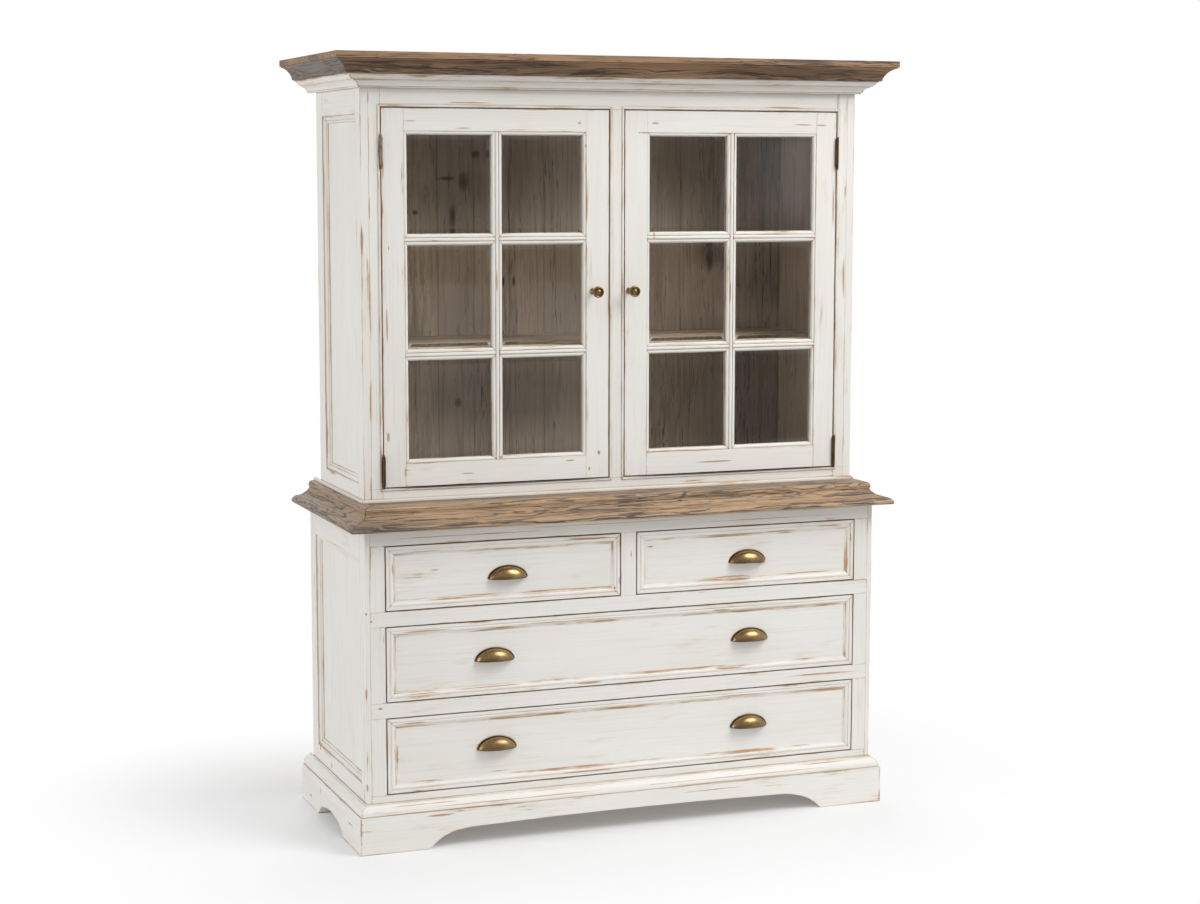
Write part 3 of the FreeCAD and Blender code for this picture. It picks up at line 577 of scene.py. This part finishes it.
def front_corner(node):
    """Half the width of a CAD node less its reach forward: where the planes of its front mitres lie."""
    places = [vertex.co for vertex in frame["nodes"][node].data.vertices]
    return max(place.x for place in places) + min(place.y for place in places)


def greyed_planks():
    tints = ((0.830, 0.690, 0.540), (0.720, 0.590, 0.450), (0.260, 0.172, 0.112), (0.640, 0.540, 0.440))
    return aged_wood("greyed_planks", tints, checked=0.32, rough=0.72, shine=0.1, rings_across=60,
                     lined=0.22, knots=PLANK_KNOTS, stains_and_shade=PLANK_SHADE, stain_and_shade_depth=0.58)


def raw_pine():
    tints = ((0.560, 0.400, 0.240), (0.470, 0.315, 0.180), (0.350, 0.215, 0.115), (0.450, 0.330, 0.210))
    return aged_wood("raw_pine", tints, checked=0.0, rough=0.70, shine=0.25)


def waist_wood():
    tints = ((0.500, 0.324, 0.182), (0.440, 0.282, 0.156), (0.170, 0.134, 0.108), (0.230, 0.182, 0.145))
    return aged_wood("waist_wood", tints, checked=0.9, rings_across=110, lined=0.9, line_count=15,
                     stains_and_shade=WAIST_DARK_PATCHES, mitre=front_corner("waist_edge_moulding"))


def crown_slab_wood():
    tints = ((0.425, 0.246, 0.122), (0.310, 0.174, 0.084), (0.105, 0.060, 0.035), (0.215, 0.182, 0.160))
    return aged_wood("crown_slab_wood", tints, checked=0.9, rough=0.60, rings_across=150, lined=0.6,
                     line_count=22)


def crown_cove_wood():
    tints = ((0.390, 0.222, 0.116), (0.300, 0.170, 0.086), (0.094, 0.057, 0.035), (0.162, 0.136, 0.120))
    return aged_wood("crown_cove_wood", tints, checked=0.95, rough=0.60, rings_across=150, lined=0.6,
                     line_count=26, stains_and_shade=CROWN_STAINS, stain_and_shade_depth=0.45, mitre=front_corner("crown_cove"))


def chest(raw):
    for name in DRAWERS:
        boards(f"drawer_{name}_front", painted_wood(f"{name}_paint", STROKES[f"drawer_{name}"]))
        for part in ("box", "bottom"):
            boards(f"drawer_{name}_{part}", raw)
    paint = painted_wood("chest_paint", STROKES["chest"])
    for node in ("base_face_frame", "base_side_left", "base_side_right"):
        boards(node, paint, FINE_EDGE)
    for node in ("side_panel_mouldings", "waist_under_strip"):
        boards(node, paint)
    for node in ("base_back_panel", "base_floor", "base_top_board", "drawer_runners"):
        boards(node, raw)


def plinth(raw):
    paint = painted_wood("plinth_paint", STROKES["plinth"], wear=0.7, rubbed=0.12)
    for node in ("plinth_cap_moulding", "plinth_front", "plinth_side_left", "plinth_side_right"):
        boards(node, paint)
    boards("plinth_rail_and_blocks", raw)


def hutch(plank):
    paint = painted_wood("hutch_paint", STROKES["hutch"], DOOR_GAP_SHADOWS, wear=0.7)
    inward = {
        "hutch_side_left": lambda normal: normal.x > 0.5,
        "hutch_side_right": lambda normal: normal.x < -0.5,
        "hutch_face_frame": lambda normal: normal.y > 0.5,
    }
    for node, faces_in in inward.items():
        boards(node, paint, FINE_EDGE, inner=plank, faces_in=faces_in)
    boards("door_opening_beads", paint)
    # The foot strip's paint is darkened all over as painted shade, to dim the light that its top catches.
    boards("hutch_foot_strip", painted_wood("foot_strip_paint", STROKES["hutch"], crease_dirt_and_shade_level=0.15, age_and_shade=0.6))
    for node in ("hutch_back_planks", "hutch_ceiling", "hutch_floor", "hutch_shelf_lower",
                 "hutch_shelf_upper", "shelf_cleats"):
        boards(node, plank)


def doors():
    for side in ("left", "right"):
        paint = painted_wood(f"{side}_door_paint", STROKES[f"door_{side}"], wear=0.7)
        boards(f"door_{side}_frame", paint, FINE_EDGE)
        for part in ("glass_mouldings", "glazing_bars"):
            boards(f"door_{side}_{part}", paint)


def waist():
    wood = waist_wood()
    boards("waist_boards", wood)
    boards("waist_edge_moulding", wood, tones=(0.5, 0.0, 0.4))      # left, front and right runs


def crown():
    paint = painted_wood("cornice_paint", STROKES["hutch"], wear=0.7, rubbed=0.6, age_and_shade=0.1)
    boards("painted_cornice", paint)
    boards("crown_cove", crown_cove_wood(), tones=(1.0, 0.05, 0.5))
    boards("crown_top_board", crown_slab_wood(), tones=(0.1,))


# ==== metal fittings ==============================================================================
def skin(bm, rings, closed=True):
    """Joins rings of vertices by quads; rings of equal length, each open or closed."""
    count = len(rings[0])
    for lower, upper in zip(rings, rings[1:]):
        for i in range(count if closed else count - 1):
            j = (i + 1) % count
            corners = [lower[i], lower[j], upper[j], upper[i]]
            unique = [v for k, v in enumerate(corners) if v not in corners[:k]]
            if len(unique) > 2:
                bm.faces.new(unique).smooth = True


def eased_line(points, steps):
    """Smooth line through the points, by Catmull and Rom's rule; a doubled point makes a corner."""
    line = []
    for i in range(len(points) - 1):
        near = (min(max(k, 0), len(points) - 1) for k in (i - 1, i, i + 1, i + 2))
        before, a, b, after = (Vector(points[k]) for k in near)
        if (b - a).length < 1e-9:
            continue
        for step in range(steps):
            t = step / steps
            line.append(0.5 * (2 * a + (b - before) * t + (2 * before - 5 * a + 4 * b - after) * t * t
                               + (3 * a - before - 3 * b + after) * t * t * t))
    line.append(Vector(points[-1]))
    return line


def circle(bm, middle, across, other, radius, sides):
    """A ring of new vertices about middle, in the plane of two unit vectors."""
    turns = [2 * math.pi * k / sides for k in range(sides)]
    return [bm.verts.new(middle + (across * math.cos(t) + other * math.sin(t)) * radius) for t in turns]


def turned(bm, profile, origin, axis, sides):
    """A turned solid: profile gives distance out and distance along the axis."""
    axis = Vector(axis)
    across = axis.orthogonal().normalized()
    other = axis.cross(across)
    rings = []
    for out, along in profile:
        middle = Vector(origin) + axis * along
        if out < 1e-6:
            tip = bm.verts.new(middle)
            rings.append([tip] * sides)
        else:
            rings.append(circle(bm, middle, across, other, out, sides))
    skin(bm, rings)
    for ring, flip in ((rings[0], True), (rings[-1], False)):
        if ring[0] is not ring[1]:
            bm.faces.new(ring[::-1] if flip else ring)


def swept(bm, line, radius, sides=12):
    """A round bar along a line, with closed ends."""
    rings = []
    side = Vector((0, 0, 1))
    for i, point in enumerate(line):
        ahead = (line[min(i + 1, len(line) - 1)] - line[max(i - 1, 0)]).normalized()
        side = side - ahead * side.dot(ahead)
        side = side.normalized() if side.length > 1e-6 else ahead.orthogonal().normalized()
        rings.append(circle(bm, point, side, ahead.cross(side), radius, sides))
    skin(bm, rings)
    bm.faces.new(rings[0][::-1])
    bm.faces.new(rings[-1])


def fitting(node, name, bm, *materials):
    """Makes the turned or hollow metal piece that stands for a CAD node."""
    bmesh.ops.recalc_face_normals(bm, faces=bm.faces)
    stand_for(node, name, bm, materials, METAL_SHARP)


DRAWER_FACE = -274                 # the plane of the drawers' sunk panels, which the pulls stand on, in mm
PULL_HALF, PULL_HEIGHT, PULL_REACH, PULL_WALL = 54 * MM, 33 * MM, 27 * MM, 1.8 * MM
PULL_MIDDLES = {                   # middle of each pull and the height of its lower edge, in mm
    "top_left": [(-347, 714)], "top_right": [(357, 716)],
    "middle": [(-385, 493), (366, 494)], "bottom": [(-380, 250), (365, 247)],
}
KNOB_MIDDLES = {"left": (-70.4, 1472), "right": (35.6, 1472)}
HINGE_OUT, HINGE_FORWARD, HINGE_HEIGHTS = 663.1, -191.6, (1004, 1846)
PIN_HALF, PIN_RADIUS = 38.0, 2.2   # half a pin's length without its finials, in mm


def cup_pull(bm, middle, wall):
    """A cup pull: a thin hollow quarter egg, a rolled lip below and a rim with small end pads."""
    steps, leans = 44, 14
    x, z = middle

    def at(turn, lean, inset):
        reach = (PULL_REACH - inset) * math.sin(turn) ** 1.05
        rise = (PULL_HEIGHT - inset) * math.sin(turn) ** 1.15
        return Vector((x - (PULL_HALF - inset) * math.cos(turn), wall - reach * math.cos(lean) ** 0.92,
                       z + rise * math.sin(lean)))

    turns = [math.pi * k / steps for k in range(steps + 1)]
    turns = [min(max(t, 0.02), math.pi - 0.02) for t in turns]
    tilts = [math.pi / 2 * k / leans for k in range(leans + 1)]
    outer = [[bm.verts.new(at(t, tilt, 0)) for tilt in tilts] for t in turns]
    inner = [[bm.verts.new(at(t, tilt, PULL_WALL)) for tilt in tilts] for t in turns]
    skin(bm, outer, closed=False)
    skin(bm, [row[::-1] for row in inner], closed=False)
    for near, far in zip(zip(outer, inner), list(zip(outer, inner))[1:]):
        for k in (0, -1):
            bm.faces.new([near[0][k], far[0][k], far[1][k], near[1][k]]).smooth = True
    for k in (0, -1):
        for i in range(leans):
            bm.faces.new([outer[k][i], outer[k][i + 1], inner[k][i + 1], inner[k][i]])
    bright_faces = set(bm.faces)
    lip = [at(t, 0, 0.9 * MM) + Vector((0, 0, 0.9 * MM)) for t in turns]
    swept(bm, lip, 1.25 * MM)
    around = [math.pi * k / steps for k in range(steps + 1)]
    rim = [Vector((x - (PULL_HALF + 0.3 * MM) * math.cos(t), wall - 1.3 * MM,
                   z + 1.7 * MM + (PULL_HEIGHT - 0.8 * MM) * math.sin(t) ** 1.10)) for t in around]
    swept(bm, rim, 1.7 * MM)
    for hand in (-1, 1):
        pad = [(3.4, 0), (3.4, 0.9), (2.6, 2.0), (1.2, 2.7), (0, 2.9)]
        pad = [(out * MM, along * MM) for out, along in pad]
        turned(bm, pad, (x + hand * (PULL_HALF - 0.6 * MM), wall, z + 3.0 * MM), (0, -1, 0), 20)
    for face in bm.faces:
        if face not in bright_faces:
            face.material_index = 1


def door_knob(bm, x, z, wall):
    """A turned knob: a stepped foot, a waisted stem and a round head with a ring about its dome."""
    line = eased_line([(8.4, 0), (8.4, 0), (8.4, 1.8), (8.4, 1.8), (7.4, 3.0), (5.6, 4.6), (4.7, 8),
                       (4.3, 17), (4.5, 27), (6.0, 32.6), (10.2, 35.4), (13.9, 38.9), (15.6, 42.5),
                       (15.4, 45.4), (14.4, 46.9), (12.9, 47.4), (11.6, 46.6), (10.6, 44.6), (10.6, 44.6),
                       (9.4, 44.4), (8.0, 46.4), (6.6, 47.6), (6.6, 47.6), (4.6, 49.2), (2.4, 49.8),
                       (0, 50.0)], 4)
    profile = [(max(out, 0.0) * MM, along * MM) for out, along in line]
    turned(bm, profile, (x * MM, wall, z * MM), (0, -1, 0), 56)


def hinge_pin(bm, x, y, z):
    """A hinge's pin with a small turned finial at each end."""
    line = eased_line([(3.9, 0), (3.9, 0), (3.9, 1.0), (3.9, 1.0), (2.0, 2.0), (1.9, 2.6), (2.4, 3.8),
                       (2.3, 5.4), (1.4, 6.6), (0, 7.0)], 3)
    finial = [(max(out, 0.0) * MM, along * MM) for out, along in line]
    for away in (1, -1):
        turned(bm, finial, (x * MM, y * MM, (z + away * PIN_HALF) * MM), (0, 0, away), 20)
    pin = [(PIN_RADIUS * MM, -PIN_HALF * MM), (PIN_RADIUS * MM, PIN_HALF * MM)]
    turned(bm, pin, (x * MM, y * MM, z * MM), (0, 0, 1), 16)


def cup_pulls(antique):
    rim = brass("brass_rim", (0.130, 0.062, 0.028), (0.040, 0.020, 0.011), 0.30)
    for name, middles in PULL_MIDDLES.items():
        bm = bmesh.new()
        for x, z in middles:
            cup_pull(bm, (x * MM, z * MM), DRAWER_FACE * MM)
        fitting(f"drawer_{name}_pull", f"{name}_cup_pull", bm, antique, rim)


def door_knobs(antique):
    for side, (x, z) in KNOB_MIDDLES.items():
        bm = bmesh.new()
        door_knob(bm, x, z, HUTCH_FRONT * MM)
        fitting(f"door_{side}_knob", f"{side}_turned_knob", bm, antique)


def hinges():
    plain = brass("hinge_brass", (0.120, 0.075, 0.040), (0.035, 0.021, 0.012), 0.45, coat=0.0,
                  overpainted=(0.55, 0.10))
    for name, node in frame["nodes"].items():
        if slots[name] == "hinge_brass":
            node.data.materials[0] = plain
    bm = bmesh.new()
    for x in (-HINGE_OUT, HINGE_OUT):
        for z in HINGE_HEIGHTS:
            hinge_pin(bm, x, HINGE_FORWARD, z)
    fitting("hinge_pins", "hinge_pins_turned", bm, plain)


def panes():
    glass = pane_glass()
    for name, node in frame["nodes"].items():
        if slots[name] == "glass":
            node.data.materials[0] = glass


# ==== camera, floor and light =====================================================================
def camera():
    made = bpy.data.cameras.new("camera")
    made.lens = 69.99
    made.sensor_width = 36.0
    view = bpy.data.objects.new("camera", made)
    view.location = (-2.34235, -6.11159, 1.79492)
    view.rotation_euler = Euler((math.radians(83.147), math.radians(-0.06), math.radians(-21.157)))
    bpy.context.scene.collection.objects.link(view)
    bpy.context.scene.camera = view
    bpy.context.scene.view_settings.view_transform = "Standard"


def lamp(name, place, target, size, power, spread=180, mirrored=True):
    made = bpy.data.lights.new(name, "AREA")
    made.shape = "DISK"
    made.size = size
    made.energy = power
    made.spread = math.radians(spread)
    light = bpy.data.objects.new(name, made)
    light.location = place
    light.rotation_euler = (Vector(target) - Vector(place)).to_track_quat("-Z", "Y").to_euler()
    light.visible_glossy = light.visible_transmission = mirrored
    bpy.context.scene.collection.objects.link(light)


def seen_white(s, plain, mirrored):
    """Strength 1 where the camera looks, itself or through glass.

    plain is the level that lights the object and mirrored the level that metal and glass mirror.
    """
    rays = s.node("LightPath").outputs
    in_mirror = s.lowest(s.highest(rays["Is Glossy Ray"], rays["Glossy Depth"]), 1.0)
    level = s.span(in_mirror, 0, 1, plain, mirrored)
    through = s.product(rays["Is Transmission Ray"], s.less(1.0, in_mirror))
    seen = s.highest(rays["Is Camera Ray"], through)
    return s.sum(s.product(level, s.less(1.0, seen)), seen)


def lamps():
    lamp("key", (2.4, -2.7, 4.3), (0.0, -0.2, 1.0), 3.2, 151)
    lamp("front", (0.9, -3.4, 0.5), (0.1, -0.3, -0.1), 1.6, 1.5, spread=60, mirrored=False)
    lamp("fill", (-4.4, -0.6, 1.6), (0.0, 0.0, 0.9), 3.0, 52)
    lamp("back", (0.5, 4.5, 4.0), (0.0, 0.3, 1.0), 3.0, 90)


def room():
    """A white room, which mirrors see dim in front, with softboxes at the right and above and a window."""
    world = bpy.data.worlds.new("studio")
    bpy.context.scene.world = world
    s = Shader(world)
    ray = s.parts(s.node("TexCoord").outputs["Generated"])
    behind = s.span(ray["Y"], -0.35, 0.35, DIM_ROOM, 1.0)
    softbox = s.highest(s.span(ray["X"], 0.46, 0.56, 0.0, 1.0), s.span(ray["Z"], 0.08, 0.20, 0.0, 0.6))
    window = s.product(s.span(ray["X"], 0.405, 0.435), s.span(ray["Z"], -0.035, -0.012))
    softbox = s.highest(softbox, s.product(window, 0.9))
    mirrored = s.node("LightPath").outputs["Is Glossy Ray"]
    colour = s.colours(s.product(softbox, mirrored), WHITE, SOFTBOX_TINT)
    strength = seen_white(s, AMBIENT, s.highest(behind, softbox))
    sky = s.node("Background", {"Color": colour, "Strength": strength})
    s.node("OutputWorld", {"Surface": sky.outputs[0]})


def floor():
    """A pale floor that takes the shadow near the plinth and turns into plain white away from it."""
    bpy.ops.mesh.primitive_grid_add(x_subdivisions=2, y_subdivisions=2, size=60, location=(0, 0, 0))
    piece = bpy.context.active_object
    piece.name = "floor"
    s = Shader(bpy.data.materials.new("floor"))
    place = s.place()
    beyond = s.vector("ABSOLUTE", place)
    beyond = s.vector("SUBTRACT", beyond, PLINTH_REACH)
    beyond = s.vector("MAXIMUM", beyond, (0.0, 0.0, 0.0))
    away = s.span(s.length(beyond), -0.05, 0.9, 0.17, 1.0, smooth=True)
    across, forward, _ = s.parts(place)
    slant = s.math("DIVIDE", across, forward)
    pale_end = s.product(s.span(forward, -5.0, -8.0, 0.0, 0.5), s.span(slant, -0.42, -0.38))
    mirrored = s.highest(s.span(forward, -4.0, 0.0, DIM_ROOM, 1.0), pale_end)
    plain = s.node("BsdfDiffuse", {"Color": (0.84, 0.845, 0.85, 1.0)})
    white = s.node("Emission", {"Color": (*WHITE, 1.0), "Strength": seen_white(s, AMBIENT, mirrored)})
    mixed = s.node("MixShader", {0: away, 1: plain.outputs[0], 2: white.outputs[0]})
    s.node("OutputMaterial", {"Surface": mixed.outputs[0]})
    piece.data.materials.append(s.owner)


camera()
lamps()
room()
floor()

raw, plank = raw_pine(), greyed_planks()
chest(raw)
plinth(raw)
hutch(plank)
doors()
waist()
crown()

antique = brass("antique_brass", (0.330, 0.205, 0.085), (0.085, 0.048, 0.022), 0.25)
cup_pulls(antique)
door_knobs(antique)
hinges()
panes()
